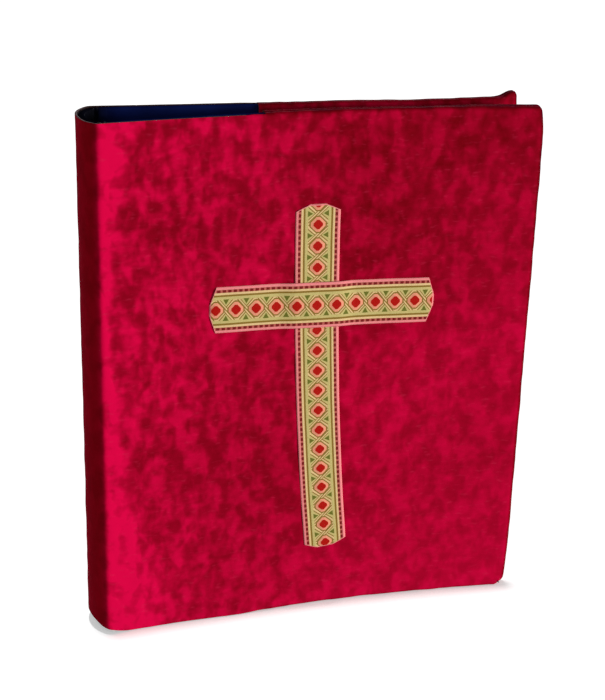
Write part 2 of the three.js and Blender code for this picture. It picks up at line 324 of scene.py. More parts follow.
class Field:
    """A number that varies over a surface. Arithmetic on it adds math nodes to the shader."""

    def __init__(self, shader, socket):
        self.shader = shader
        self.socket = socket

    def math(self, operation, *others):
        node = self.shader.add("ShaderNodeMath", operation=operation)
        for port, value in zip(node.inputs, (self, *others)):
            self.shader.plug(port, value)
        return Field(self.shader, node.outputs[0])

    def __add__(self, other):
        return self.math("ADD", other)

    def __sub__(self, other):
        return self.math("SUBTRACT", other)

    def __mul__(self, other):
        return self.math("MULTIPLY", other)

    def __rsub__(self, other):
        return self * -1 + other

    def __truediv__(self, other):
        return self.math("DIVIDE", other)

    def __abs__(self):
        return self.math("ABSOLUTE")

    def above(self, low, high):
        """0 below low, 1 above high."""
        node = self.shader.add("ShaderNodeMapRange", interpolation_type="SMOOTHSTEP")
        self.shader.plug(node.inputs["Value"], self)
        node.inputs["From Min"].default_value = low
        node.inputs["From Max"].default_value = high
        return Field(self.shader, node.outputs[0])

    def within(self, half, soft):
        """1 where the number's size is under half, with an edge that is soft wide."""
        return 1 - abs(self).above(half - soft / 2, half + soft / 2)


class Shader:
    """A material with one Principled shader, built node by node."""

    def __init__(self, name, roughness, **settings):
        self.material = bpy.data.materials.new(name)
        self.material.use_nodes = True
        self.tree = self.material.node_tree
        self.tree.nodes.clear()
        output = self.add("ShaderNodeOutputMaterial")
        self.surface = self.add("ShaderNodeBsdfPrincipled")
        self.tree.links.new(self.surface.outputs[0], output.inputs[0])
        self.set("Roughness", roughness)
        for key, value in settings.items():
            self.set(key.replace("_", " ").title().replace("Ior", "IOR"), value)

    def add(self, kind, **settings):
        node = self.tree.nodes.new(kind)
        for key, value in settings.items():
            setattr(node, key, value)
        return node

    def plug(self, port, value):
        if isinstance(value, Field):
            self.tree.links.new(value.socket, port)
        elif isinstance(value, bpy.types.NodeSocket):
            self.tree.links.new(value, port)
        else:
            port.default_value = value

    def set(self, port, value):
        self.plug(self.surface.inputs[port], value)

    def attribute(self, name):
        node = self.add("ShaderNodeAttribute", attribute_name=name, attribute_type="GEOMETRY")
        return node.outputs["Vector"]

    def parts(self, vector):
        node = self.add("ShaderNodeSeparateXYZ")
        self.plug(node.inputs[0], vector)
        return [Field(self, o) for o in node.outputs]

    def texture(self, vector, kind, **inputs):
        """A node that reads a place, with its other inputs set by name."""
        node = self.add(kind)
        self.plug(node.inputs["Vector"], vector)
        for key, value in inputs.items():
            node.inputs[key].default_value = value
        return node

    def stretched(self, vector, scale, turn=0.0):
        return self.texture(vector, "ShaderNodeMapping", Scale=scale, Rotation=(0, 0, turn)).outputs[0]

    def noise(self, vector, per_metre, detail=3.0, rough=0.5, distortion=0.0):
        node = self.texture(
            vector, "ShaderNodeTexNoise", Scale=per_metre, Detail=detail, Roughness=rough,
            Distortion=distortion,
        )
        return Field(self, node.outputs[0])

    def cells(self, vector, per_metre):
        node = self.texture(vector, "ShaderNodeTexVoronoi", Scale=per_metre)
        return Field(self, node.outputs["Distance"])

    def ramp(self, field, *stops):
        node = self.add("ShaderNodeValToRGB")
        self.plug(node.inputs[0], field)
        elements = node.color_ramp.elements
        while len(elements) < len(stops):
            elements.new(0.5)
        for element, (position, colour) in zip(elements, stops):
            element.position = position
            element.color = (*colour, 1)
        return node.outputs[0]

    def mix(self, share, a, b, blend="MIX"):
        node = self.add("ShaderNodeMix", data_type="RGBA", blend_type=blend)
        self.plug(node.inputs[0], share)
        for port, colour in ((node.inputs[6], a), (node.inputs[7], b)):
            self.plug(port, (*colour, 1) if isinstance(colour, tuple) else colour)
        return node.outputs[2]

    def bump(self, *layers):
        """Layers are (height field, depth in millimetres, strength)."""
        normal = None
        for height, depth, strength in layers:
            node = self.add("ShaderNodeBump")
            node.inputs["Strength"].default_value = strength
            node.inputs["Distance"].default_value = depth * MM
            self.plug(node.inputs["Height"], height)
            if normal:
                self.plug(node.inputs["Normal"], normal)
            normal = node.outputs[0]
        self.set("Normal", normal)


def velvet_material():
    """Crushed pile: mottled where it lies over, with a fine nap. It carries painted light: a painted sheen
    highlight beside the crease, painted shade over the spine and on the rounded rims, and a painted shade
    gradient across the cover.
    """
    shader = Shader(
        "velvet", 0.85, specular_ior_level=0.02, sheen_weight=0.22, sheen_roughness=0.4,
        sheen_tint=(0.95, 0.015, 0.12, 1),
    )
    cloth = shader.attribute("cloth")
    crease_sheen, rim, spine = shader.parts(shader.attribute("edge"))
    run, height, _ = shader.parts(cloth)
    from_apex = abs(run)
    folds = shader.noise(shader.stretched(cloth, (1.05, 0.85, 1), 0.4), 78, 2.2, 0.55, 0.35)
    dabs = shader.noise(shader.stretched(cloth, (1.25, 0.75, 1), -0.6), 125, 1.5, 0.5, 0.3)
    patches = folds * 0.6 + dabs * 0.4
    lying = patches.above(0.36, 0.64)
    drift = shader.parts(shader.attribute("drift"))[0]
    streaks = shader.noise(shader.stretched(cloth, (0.7, 1.4, 1), 0.1), 210, 1, 0.5)
    nap = shader.noise(cloth, 1700, 2, 0.7)
    crushed = 1.0 - from_apex * 2.0 + height
    mottle = (lying * 0.20 + streaks * 0.11 - 0.155) * crushed - drift * 0.07 + nap * 0.03 - 0.015
    # Painted shade: a gradient that makes the velvet lighter towards the bottom and, high up, darker
    # towards the fore edge.
    upper = (height - 0.13).math("MAXIMUM", 0)
    shade_gradient = (0.16 - height) * 0.20 + upper * (0.155 - from_apex) * 2.6 + 0.02
    # Painted light: crease_sheen is a painted highlight, and rim and spine take painted shade off the lay;
    # over the spine most of the mottle goes, as in shade.
    lay = (mottle + shade_gradient) * (1 - spine * 0.75) + 0.505 + crease_sheen * 0.16 - rim * 0.42 - spine * 0.03
    colour = shader.ramp(
        lay,
        (0.10, (0.050, 0.0003, 0.006)),
        (0.34, (0.17, 0.0003, 0.004)),
        (0.46, (0.29, 0.0004, 0.013)),
        (0.57, (0.45, 0.0006, 0.027)),
        (0.72, (0.74, 0.0012, 0.058)),
    )
    flecks = shader.noise(shader.stretched(cloth, (0.6, 1.5, 1), 0.12), 300, 1)
    glints = flecks.above(0.58, 0.82) * (0.17 - spine * 0.15)
    colour = shader.mix(glints, colour, (0.62, 0.026, 0.085))
    # Painted shade: over the spine the colour is multiplied down in green and blue.
    shader.set("Base Color", shader.mix(spine, colour, (1, 0.6, 0.5), "MULTIPLY"))
    shader.bump((patches, 1.2, 0.4), (streaks, 0.25, 0.25), (nap, 0.08, 0.2))
    return shader.material


def backing_material():
    """The knitted back of the velvet, where the cloth is cut."""
    shader = Shader("velvet_backing", 0.95, specular_ior_level=0.2)
    cloth = shader.attribute("cloth")
    spine = shader.parts(shader.attribute("edge"))[2]
    knit = shader.noise(shader.stretched(cloth, (1, 2.4, 1)), 900, 2)
    wine = shader.ramp(knit, (0.3, (0.020, 0.006, 0.006)), (0.7, (0.070, 0.028, 0.022)))
    # Painted highlight: over the spine the cut edge is painted lighter, as where light catches it.
    painted_rim_highlight = shader.ramp(knit, (0.3, (0.055, 0.028, 0.032)), (0.7, (0.15, 0.095, 0.100)))
    shader.set("Base Color", shader.mix(spine, wine, painted_rim_highlight))
    shader.bump((knit, 0.15, 0.6))
    return shader.material


def vinyl_material(name, gloss):
    """Navy film with a fine leather grain, with painted shade that makes it near black inside the spine."""
    shader = Shader(name, 0.6, specular_ior_level=gloss)
    cloth = shader.attribute("cloth")
    grain = shader.cells(cloth, 850)
    cloudy = shader.noise(cloth, 40, 3)
    navy = shader.ramp(cloudy, (0.35, (0.0034, 0.0076, 0.062)), (0.7, (0.0060, 0.0135, 0.105)))
    # Painted shade: inside the spine the navy film is painted near black.
    dark = shader.ramp(cloudy, (0.35, (0.0024, 0.0024, 0.0050)), (0.7, (0.0042, 0.0044, 0.0090)))
    from_apex = abs(shader.parts(cloth)[0])
    past_spine = from_apex.above((SPINE_HALF - 1) * MM, (SPINE_HALF + 15) * MM)
    shader.set("Base Color", shader.mix(past_spine, dark, navy))
    shader.set("Roughness", shader.noise(cloth, 300, 2) * 0.25 + 0.42)
    shader.bump((cloudy, 0.5, 0.2), (grain, 0.09, 0.5))
    return shader.material


def paper_material():
    """Uncoated ivory paper, with its fibres."""
    shader = Shader("paper", 0.9, specular_ior_level=0.25)
    place = shader.attribute("sheet")
    fibres = shader.noise(place, 700, 4, 0.65)
    cloudy = shader.noise(place, 25, 2)
    shader.set("Base Color", shader.ramp(
        fibres * 0.5 + cloudy * 0.5, (0.3, (0.72, 0.66, 0.53)), (0.7, (0.83, 0.79, 0.68)),
    ))
    shader.bump((fibres, 0.04, 0.5))
    return shader.material


def steel_material():
    """Bright nickel plate with faint drawing lines."""
    shader = Shader("nickel_plate", 0.24, metallic=1.0)
    place = shader.add("ShaderNodeTexCoord").outputs["Object"]
    lines = shader.noise(shader.stretched(place, (14, 14, 0.7)), 320, 3, 0.7)
    smudge = shader.noise(place, 60, 3)
    shader.set("Base Color", shader.ramp(smudge, (0.3, (0.47, 0.465, 0.455)), (0.7, (0.60, 0.595, 0.58))))
    shader.set("Roughness", smudge * 0.18 + lines * 0.10 + 0.08)
    shader.bump((lines, 0.02, 0.3))
    return shader.material


def thread_material():
    shader = Shader("thread", 0.6, specular_ior_level=0.4, sheen_weight=0.2)
    place = shader.add("ShaderNodeTexCoord").outputs["Object"]
    twist = shader.noise(shader.stretched(place, (1, 1, 3)), 3000, 1)
    shader.set("Base Color", shader.ramp(twist, (0.3, (0.13, 0.002, 0.010)), (0.7, (0.32, 0.006, 0.026))))
    shader.bump((twist, 0.08, 0.6))
    return shader.material


# ---- the woven braid

BRAID_PATTERN_WIDTH = 27.0  # the width that the pattern's measures belong to
BRAID_DOT_PITCH = 3.3
BRAID_LATTICE_SLOPE = 1.12
BRAID_LOZENGE_POINT = 1.24
BRAID_TOP = 0.8  # how far its top stands off the cover
BRAID_STEP = 1.3
BRAID_BODY = 0.6


def braid_material(name, repeat):
    """Gold ground, salmon and olive stripes, rows of dark dots, and red lozenges in a lattice.
    The attribute weave is the place in the braid in millimetres: along, across, from the cut end."""
    shader = Shader(name, 0.55, specular_ior_level=0.05)
    weave = shader.attribute("weave")
    along, across, from_cut = shader.parts(weave)
    soft = 0.16

    def band(field, low, high):
        return (field - (low + high) / 2).within((high - low) / 2, soft)

    inset = BRAID_PATTERN_WIDTH / 2 - abs(across)
    turn = (along / repeat + 0.5).math("FRACT") - 0.5
    from_lozenge = abs(turn * repeat)
    from_crossing = ((along / repeat).math("FRACT") - 0.5) * repeat
    height = abs(across)
    lozenge = (from_lozenge + height) / BRAID_LOZENGE_POINT
    lozenge = lozenge.math("MAXIMUM", from_lozenge).math("MAXIMUM", height)
    slant = math.hypot(1, BRAID_LATTICE_SLOPE)
    over = abs(across + from_crossing * BRAID_LATTICE_SLOPE) / slant
    under = abs(across - from_crossing * BRAID_LATTICE_SLOPE) / slant
    field_zone = (6.0 - height).above(-soft, soft)
    notch = height - abs(from_crossing) * 1.75
    dots = abs((along / BRAID_DOT_PITCH).math("FRACT") - 0.5) * BRAID_DOT_PITCH

    gold, pale, cream = (0.60, 0.49, 0.16), (0.72, 0.59, 0.24), (0.88, 0.61, 0.29)
    olive, green, salmon = (0.29, 0.17, 0.028), (0.17, 0.175, 0.024), (0.95, 0.37, 0.22)
    rose, wine = (1.0, 0.29, 0.29), (0.22, 0.011, 0.012)
    russet, red = (0.56, 0.13, 0.10), (0.50, 0.007, 0.003)

    colour = shader.mix(shader.noise(weave, 1.4, 2), gold, pale)
    layers = (
        (band(inset, -1, 1.6), rose),
        (band(inset, 1.6, 3.35), russet),
        (band(inset, 1.65, 3.3) * dots.within(1.02, soft), wine),
        (band(inset, 3.35, 4.6), cream),
        (band(inset, 4.6, 5.7), olive),
        ((notch - 3.0).above(0, soft) * (6.4 - height).above(0, soft), green),
        (under.within(1.35, soft) * field_zone, olive),
        (under.within(0.75, soft) * field_zone, cream),
        (over.within(1.5, soft) * field_zone, olive),
        (over.within(1.05, soft) * field_zone, cream),
        (over.within(0.32, soft) * field_zone, olive),
        (lozenge.within(5.3, soft), olive),
        (lozenge.within(4.5, soft), salmon),
        (lozenge.within(2.9, soft), red),
        (from_cut.within(0.9, soft), rose),
    )
    for share, tint in layers:
        colour = shader.mix(share, colour, tint)
    warp = ((along * (2 * math.pi / 0.62)).math("SINE") + 1) * 0.5
    weft = ((across * (2 * math.pi / 0.42)).math("SINE") + 1) * 0.5
    threads = warp * 0.5 + weft * 0.5
    shade = shader.ramp(threads, (0.1, (0.70, 0.70, 0.70)), (0.75, (1.0, 1.0, 1.0)))
    shader.set("Base Color", shader.mix(1.0, colour, shade, "MULTIPLY"))
    shader.set("Roughness", threads * 0.15 + 0.42)
    shader.bump((threads, 0.14, 0.8), (shader.noise(weave, 0.5, 2), 0.5, 0.25))
    return shader.material


def braid_relief(along, across, repeat):
    """How far the weave stands up, in millimetres: raised lozenges, stripes and a knotted edge."""
    inset = BRAID_PATTERN_WIDTH / 2 - np.abs(across)
    from_lozenge = np.abs((along / repeat + 0.5) % 1 - 0.5) * repeat
    height = np.abs(across)
    lozenge = np.maximum((from_lozenge + height) / BRAID_LOZENGE_POINT, np.maximum(from_lozenge, height))
    relief = 0.20 * (1 - smoothstep(3.1, 3.6, lozenge))
    relief = relief - 0.14 * (1 - smoothstep(0.3, 0.6, np.abs(lozenge - 5.0)))
    relief = relief - 0.12 * (1 - smoothstep(0.4, 0.7, np.abs(inset - 5.15)))
    dots = np.abs((along / BRAID_DOT_PITCH) % 1 - 0.5) * BRAID_DOT_PITCH
    in_row = 1 - smoothstep(0.6, 1.0, np.abs(inset - 2.5))
    relief = relief + 0.14 * in_row * (1 - smoothstep(0.8, 1.2, dots)) - 0.10 * in_row
    hem = 1 - smoothstep(0.0, 1.0, inset)
    return relief - 0.3 * hem**2


class Band:
    """A braid's centreline on the front cover, in the cover's own x and z, and its folded tips."""

    SHOULDER = 4.0

    def __init__(self, control, width, tip, repeat, first_lozenge):
        self.control = np.array(control, float)
        self.width = width
        self.tip = tip
        self.repeat = repeat
        self.first = first_lozenge
        t = np.linspace(0, 1, 400)
        self.line = self.curve(t)
        step = np.linalg.norm(np.diff(self.line, axis=0), axis=1)
        self.run = np.concatenate([[0], np.cumsum(step)])
        self.length = self.run[-1]

    def curve(self, t):
        a, b, c = self.control
        t = t[:, None]
        return a * (1 - t) ** 2 + b * 2 * t * (1 - t) + c * t**2

    def at(self, along):
        return np.stack([np.interp(along, self.run, self.line[:, i]) for i in range(2)], axis=-1)

    def beside(self, along, across):
        """Cover coordinates of a place in the braid."""
        ahead = self.at(np.minimum(along + 0.5, self.length)) - self.at(np.maximum(along - 0.5, 0))
        ahead /= np.linalg.norm(ahead, axis=-1, keepdims=True)
        left = np.stack([-ahead[..., 1], ahead[..., 0]], axis=-1)
        return self.at(along) + left * across[..., None]

    def half_width(self, along):
        from_end = np.minimum(along, self.length - along)
        share = np.clip(from_end / self.SHOULDER, 0, 1)
        return self.tip / 2 + (self.width - self.tip) / 2 * share


UPRIGHT = Band(
    [(137.7, 40.5), (126, 153.2), (126, 266)], width=27.0, tip=9, repeat=13.15, first_lozenge=3.3
)
BAR = Band(
    [(61.4, 205.7), (130.5, 204.25), (199.6, 202.8)], width=28.4, tip=6, repeat=12.26, first_lozenge=3.75
)


def signed_outside(band, x, z):
    """Millimetres from a band's edge, negative under it."""
    near = np.full(np.shape(x), 1e9)
    for u, v in band.line[::8]:
        near = np.minimum(near, np.hypot(x - u, z - v))
    return near - band.width / 2


def braid_mesh(name, band, material, under=None):
    """The band as a woven strip with relief, which steps over the braid under it where they cross."""
    rows = np.unique(np.concatenate([
        np.linspace(0, band.SHOULDER, 9),
        np.arange(band.SHOULDER, band.length - band.SHOULDER, 0.54),
        np.linspace(band.length - band.SHOULDER, band.length, 9),
    ]))
    columns = np.linspace(-1, 1, 61)
    along, share = np.meshgrid(rows, columns, indexing="ij")
    across = share * band.half_width(along)
    pattern = across * (BRAID_PATTERN_WIDTH / band.width)
    place = band.beside(along, across)
    wobble = 0.12 * np.sin(along / 9) + 0.08 * np.sin(along / 4.1 + across / 6)
    end = np.minimum(along, band.length - along)
    fold = 0.35 * np.exp(-end / 1.6)
    lift = BRAID_TOP
    if under:
        outside = signed_outside(under, place[..., 0], place[..., 1])
        lift = lift + BRAID_STEP * (1 - smoothstep(-1, 11, outside))
    height = lift + braid_relief(along - band.first, pattern, band.repeat)
    height = height + wobble - fold - 0.35 * np.exp(-end / 0.35)
    outline = OUTLINES[FRONT]
    s = outline.s_at(place[..., 0])
    points = outline.place(np.stack([s.ravel(), -height.ravel(), place[..., 1].ravel()], axis=1))
    from_side = (band.half_width(along) - np.abs(across)) * 0.8
    from_cut = np.where(end < band.SHOULDER + 0.5, np.minimum(end, from_side), band.SHOULDER)
    weave = np.stack([along.ravel() - band.first, pattern.ravel(), from_cut.ravel()], axis=1)
    strip = make_object(name, points, grid_quads(*along.shape), [material], weave=weave)
    thicken(strip, BRAID_BODY)
    return strip


# ---- slipcover

RIM_RADIUS = 2.3
HEM_WIDTH = 8.0
STITCH_PITCH = 3.1
OPEN_EDGE_DROP = 0.25
DRIFT_PITCH = 65.0
DRIFT_SHIFT = Vector((30.0, 37.9, 12.6))
CORNER = {FRONT: (2.0, 10.0), BACK: (1.4, 5.0)}  # top and bottom radius at the fore edge


def slipcover_lines(length):
    spine = -SPINE_HALF + np.array([0, 0.3, 0.8, 1.5, 2.5])
    spine = np.concatenate([spine, np.arange(-SPINE_HALF + 4, -5, 1.5), np.arange(-5, 6, 0.75)])
    cover = np.arange(7.0, POCKET_START - 1, 2.2)
    hem = POCKET_START + np.array([0, 0.5, 1.2, 2.5, 4, 5.5, 6.3, 6.8, 7.3, 7.8, 8.4, 9.2])
    rest = edge_lines(POCKET_START + 11, length, 2.2, RIM_RADIUS, low_edge=False)
    s = np.concatenate([spine, cover, hem, rest])
    d = edge_lines(0, POCKET_DEPTH, 0.98, RIM_RADIUS)
    z = edge_lines(0, HEIGHT, 2.2, RIM_RADIUS)
    return s, d, z, len(spine) + len(cover)


def round_corners(points, length, top, bottom):
    """Rounds the corners of the cover's elevation at its fore edge, each with its own radius."""
    s, d, z = points.T
    for radius, at_top in ((top, True), (bottom, False)):
        u = s - (length - radius)
        v = (z - (HEIGHT - radius)) if at_top else (radius - z)
        inside = (u > 0) & (v > 0)
        shrink = np.where(inside, np.maximum(u, v) / np.maximum(np.hypot(u, v), 1e-9), 1)
        s = np.where(inside, length - radius + u * shrink, s)
        corner_z = (HEIGHT - radius + v * shrink) if at_top else (radius - v * shrink)
        z = np.where(inside, corner_z, z)
    return np.stack([s, d, z], axis=1)


def ear(points, length):
    """The cloth's spare corner that stands up past the board at the back cover's fore edge."""
    s, d, z = points.T
    rise = smoothstep(length - 19, length - 2.2, s) ** 1.8
    fall = smoothstep(length - 1.8, length + 1.5, s)
    return np.stack([s - 2.6 * rise, d, z + 3.4 * rise * (1 - 0.5 * fall)], axis=1)


def slack(points, length):
    """How far the front pocket's fore edge swells past the board between its corners."""
    s, _, z = points.T
    swell = (1 - np.exp(-np.maximum(z, 0) / 12)) * (1 - np.exp(-np.maximum(HEIGHT - z, 0) / 9))
    return 2.35 * swell * smoothstep(length - 45, length - 4, s)


def belly(points):
    """How far the front's cloth stands off the board along its foot, nearer the spine."""
    s, d, z = points.T
    return 2.1 * np.exp(-(((s - 87) / 38) ** 2)) * (1 - smoothstep(0, 36, z)) * (1 - d / POCKET_DEPTH)


def under_cross(outline, points):
    """1 where the cross presses the pile flat."""
    if outline.side == BACK:
        return np.zeros(len(points))
    x, z = points[:, 0] * (CHORD / outline.length), points[:, 2]
    outside = np.minimum(signed_outside(UPRIGHT, x, z), signed_outside(BAR, x, z))
    return 1 - smoothstep(-1.6, 0.6, outside)


def slipcover(side, velvet, backing):
    """Half of the slipcover: half the spine, the cover, and the pocket flap turned to the inside."""
    outline = CLOTH_OUTLINES[side]
    length = outline.length - SHORT[side]
    s_lines, d_lines, z_lines, pocket = slipcover_lines(length)
    box = BoxSurface(s_lines, d_lines, z_lines)
    box.add(1, False)
    box.add(1, True, pocket)
    box.add(2, False, pocket)
    box.add(2, True, pocket)
    box.add(0, True)
    flat = box.points()
    points = round_corners(flat, length, *CORNER[side])
    sewn = smoothstep(POCKET_START - 10, POCKET_START + 8, flat[:, 0])[:, None]
    radius = RIM_RADIUS * np.hstack([np.ones((len(flat), 2)), sewn])
    points, outward = round_edges(points, (-1e3, 0, 0), (length, POCKET_DEPTH, HEIGHT), radius)

    cloth = outline.cloth(flat)
    slow, quick = wave(cloth / MM, 15, Vector()), wave(cloth / MM, 5.5, Vector((7, 3, 1)))
    pressed = under_cross(outline, flat)
    relief = (0.24 + 0.26 * slow + 0.14 * quick) * (1 - pressed) - 0.05 * pressed
    rim = outward[:, 0] ** 2 + outward[:, 2] ** 2
    seam = np.exp(-(((flat[:, 1] - POCKET_DEPTH / 2) / 0.55) ** 2))
    relief -= 0.65 * seam * np.clip(rim, 0, 1)
    on_flap = np.clip(outward[:, 1], 0, 1)
    from_mouth = flat[:, 0] - POCKET_START
    hem = 1 - smoothstep(HEM_WIDTH - 0.6, HEM_WIDTH + 0.6, from_mouth)
    row = np.exp(-(((from_mouth - HEM_WIDTH + 1.4) / 0.5) ** 2))
    relief += on_flap * (0.35 * hem - 0.3 * row)
    points = points + outward * relief[:, None]
    from_middle = points[:, 2] - MIDDLE
    points[:, 2] = MIDDLE + from_middle * (1 - OPEN_EDGE_DROP / MIDDLE * (1 - sewn[:, 0]))
    if side == BACK:
        near_top = smoothstep(HEIGHT - 30, HEIGHT, flat[:, 2])[:, None]
        points = points * (1 - near_top) + ear(points, length) * near_top
    else:
        points[:, 1] -= belly(points)
        points[:, 0] += slack(points, length)
    points[:, 2] = np.maximum(points[:, 2], 0)

    past_crease = flat[:, 0] + 1.0
    rise = flat[:, 2] / HEIGHT
    # Painted sheen highlight: a bright band of velvet beside the crease, its width varying with height,
    # stronger higher up and kept off the flap.
    crease_sheen_reach = 9 + 40 * (rise / 0.62 - 1) ** 2
    crease_sheen = smoothstep(-1.5, 2.5, past_crease) * (1 - smoothstep(0.3, 1, past_crease / crease_sheen_reach))
    crease_sheen = crease_sheen * (0.85 + 0.35 * rise) * (1 - on_flap)
    fade = 3.2 + 1.8 * (1 - rise)
    # Painted shade over the spine, its edge softer towards the foot.
    spine = 1 - smoothstep(-0.9 - fade, -0.9 + fade, past_crease)
    # Painted shade on the rounded fore edge and on the top and bottom rims.
    shaded = 0.9 * np.abs(outward[:, 0]) + 0.5 * outward[:, 2] ** 2
    edge = np.stack([crease_sheen, shaded, spine], axis=1)
    drift = np.repeat(wave(cloth / MM, DRIFT_PITCH, DRIFT_SHIFT)[:, None], 3, axis=1)
    name = f"{SIDE_NAME[side]}_slipcover"
    placed = settle(outline.place(points))
    cover = make_object(
        name, placed, outline.faces(box.faces), [velvet, backing], cloth=cloth, edge=edge, drift=drift
    )
    thicken(cover, VELVET, cut_slot=1)
    start, end = outline.place(np.array([[-4.0, 0, 0], [6.0, 0, 0]])) * MM
    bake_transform(cover)
    flap = length - POCKET_START
    width = (SPINE_HALF + length + POCKET_DEPTH + flap) * MM
    tall = (HEIGHT + 2 * POCKET_DEPTH) * MM
    corners = (SPINE_HALF + length - flap) * 2 * POCKET_DEPTH * MM * MM
    width * tall - corners
    return cover


def tube(path, radius, segments):
    """Points and faces of a tube along a path, closed at its ends."""
    ahead = np.gradient(path, axis=0)
    ahead /= np.linalg.norm(ahead, axis=1, keepdims=True)
    side = np.cross(ahead, (0.0, 0.0, 1.0))
    flat = np.linalg.norm(side, axis=1) < 1e-6
    side[flat] = (1.0, 0.0, 0.0)
    side /= np.linalg.norm(side, axis=1, keepdims=True)
    up = np.cross(side, ahead)
    angle = full_turn(segments)
    radius = np.broadcast_to(radius, (len(path),))[:, None, None]
    ring = np.cos(angle)[None, :, None] * side[:, None] + np.sin(angle)[None, :, None] * up[:, None]
    return (path[:, None] + radius * ring).reshape(-1, 3), ring_quads(len(path), segments)


def hem_stitches(side, material):
    """Thread along the hem of a pocket flap, one short stitch after another."""
    outline = OUTLINES[side]
    points, faces = [], []
    run = np.linspace(0, 1, 5)
    s = np.full(5, POCKET_START + HEM_WIDTH - 1.4)
    depth = POCKET_DEPTH + 0.28 * np.sin(run * math.pi) + 0.12
    for z in np.arange(6, HEIGHT - 8, STITCH_PITCH):
        row = np.stack([s, depth, z + run * (STITCH_PITCH - 0.9)], axis=1)
        tube_points, tube_faces = tube(outline.place(row), 0.22, 6)
        faces += [tuple(i + len(points) * len(tube_points) for i in f) for f in tube_faces]
        points.append(tube_points)
    stitches = make_object(f"{SIDE_NAME[side]}_hem_stitches", np.concatenate(points), faces, [material])
    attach(stitches, f"{SIDE_NAME[side]}_cover")


# ---- binder inside

SKIN_RADIUS = 1.1
SKIN_CORNER = (4, 6)  # top and bottom radius at the fore edge
SKIN_INSET = (3.2, 1.9, 1.6)  # from the crease, from the fore edge, and from the top and bottom
SKIN_BARE_RISE = 1.15  # how much higher the film stands where no cloth is over it


def rounded_slab(outline, s_range, d_range, z_range, radius, step=(3.0, 1.2, 12.0)):
    """A closed rounded slab in cover coordinates: its points and faces."""
    lines = [edge_lines(*r, st, radius) for r, st in zip((s_range, d_range, z_range), step)]
    box = BoxSurface(*lines)
    for axis in range(3):
        box.add(axis, False)
        box.add(axis, True)
    flat = box.points()
    points, _ = round_edges(flat, *zip(s_range, d_range, z_range), radius)
    return flat, points, outline.faces(box.faces)


def matte_rims(skin):
    """The welded edges at the skin's top and bottom take its second material, which has no gloss."""
    for face in skin.data.polygons:
        if abs(face.normal.z) > 0.35:
            face.material_index = 1


def binder_skin(side, vinyl, matte):
    """The welded film around a cover's board, a little higher where the cloth leaves it bare."""
    outline = OUTLINES[side]
    at_crease, at_fore, at_top = SKIN_INSET
    end = outline.length - SHORT[side] - at_fore
    flat, points, faces = rounded_slab(
        outline, (at_crease, end), (FILM_DEPTH, LINING_DEPTH), (at_top, HEIGHT - at_top), SKIN_RADIUS
    )
    bare = 1 - smoothstep(POCKET_START - 1, POCKET_START + 4, flat[:, 0])
    points[:, 2] = MIDDLE + (points[:, 2] - MIDDLE) * (1 + SKIN_BARE_RISE / MIDDLE * bare)
    placed = settle(outline.place(round_corners(points, end, *SKIN_CORNER)))
    name = f"{SIDE_NAME[side]}_binder_skin"
    skin = make_object(name, placed, faces, [vinyl, matte], cloth=outline.cloth(flat))
    matte_rims(skin)
    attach(skin, f"{SIDE_NAME[side]}_cover")
    return skin


def spine_skin(vinyl, matte):
    """The film around the spine's board, from crease to crease."""
    outline = OUTLINES[FRONT]
    reach = 2 * SPINE_HALF  # the whole arc, as the front's outline runs on past the apex
    flat, points, faces = rounded_slab(
        outline, (-reach + 1.3, -1.3), (FILM_DEPTH, 4.85), (0.55, HEIGHT - 0.55), 1.0, (1.2, 1.2, 12.0)
    )
    angle = CREASE_ANGLE + points[:, 0] / SPINE_RADIUS
    radius = SPINE_RADIUS - points[:, 1]
    placed = np.stack(
        [SPINE_CENTRE_X - radius * np.cos(angle), -radius * np.sin(angle), points[:, 2]], axis=1
    )
    name = "spine_binder_skin"
    skin = make_object(name, settle(placed), faces, [vinyl, matte], cloth=outline.cloth(flat))
    matte_rims(skin)
    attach(skin, "spine")
    return skin


HINGE_PATH = (
    (-4.5, 4.95), (-2.8, 5.0), (-1.9, 4.75), (-1.2, 4.0), (-0.95, 2.9), (-0.7, 2.3), (0, 2.0),
    (1.1, 1.95), (2.2, 2.0), (2.7, 2.3), (2.9, 2.9), (3.1, 4.1), (3.8, 4.95), (4.8, 5.25), (6.5, 5.2),
    (8.5, 5.1),
)  # (s, d) of the film where it dips between the two boards to the weld
HINGE_FILM = 0.35


def hinge_film(side, vinyl):
    """The film that bridges the spine's board and the cover's board, welded down along the crease."""
    outline = OUTLINES[side]
    path = np.array(HINGE_PATH)
    run = np.concatenate([[0], np.cumsum(np.hypot(*np.diff(path, axis=0).T))])
    even = np.linspace(0, run[-1], 48)
    s, d = (np.interp(even, run, path[:, i]) for i in range(2))
    z = np.linspace(0.8, HEIGHT - 0.8, 60)
    n, m = len(s), len(z)
    flat = np.stack([np.repeat(s, m), np.repeat(d, m), np.tile(z, n)], axis=1)
    strip = make_object(
        f"{SIDE_NAME[side]}_hinge_film", settle(outline.place(flat)),
        outline.faces(grid_quads(n, m, flip=True)), [vinyl], cloth=outline.cloth(flat),
    )
    thicken(strip, HINGE_FILM)
    start, end = outline.place(np.array([[-0.7, 2, 0], [2.4, 2, 0]])) * MM
    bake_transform(strip)


# ---- sheets of paper

SHEET_THICKNESS = 0.11


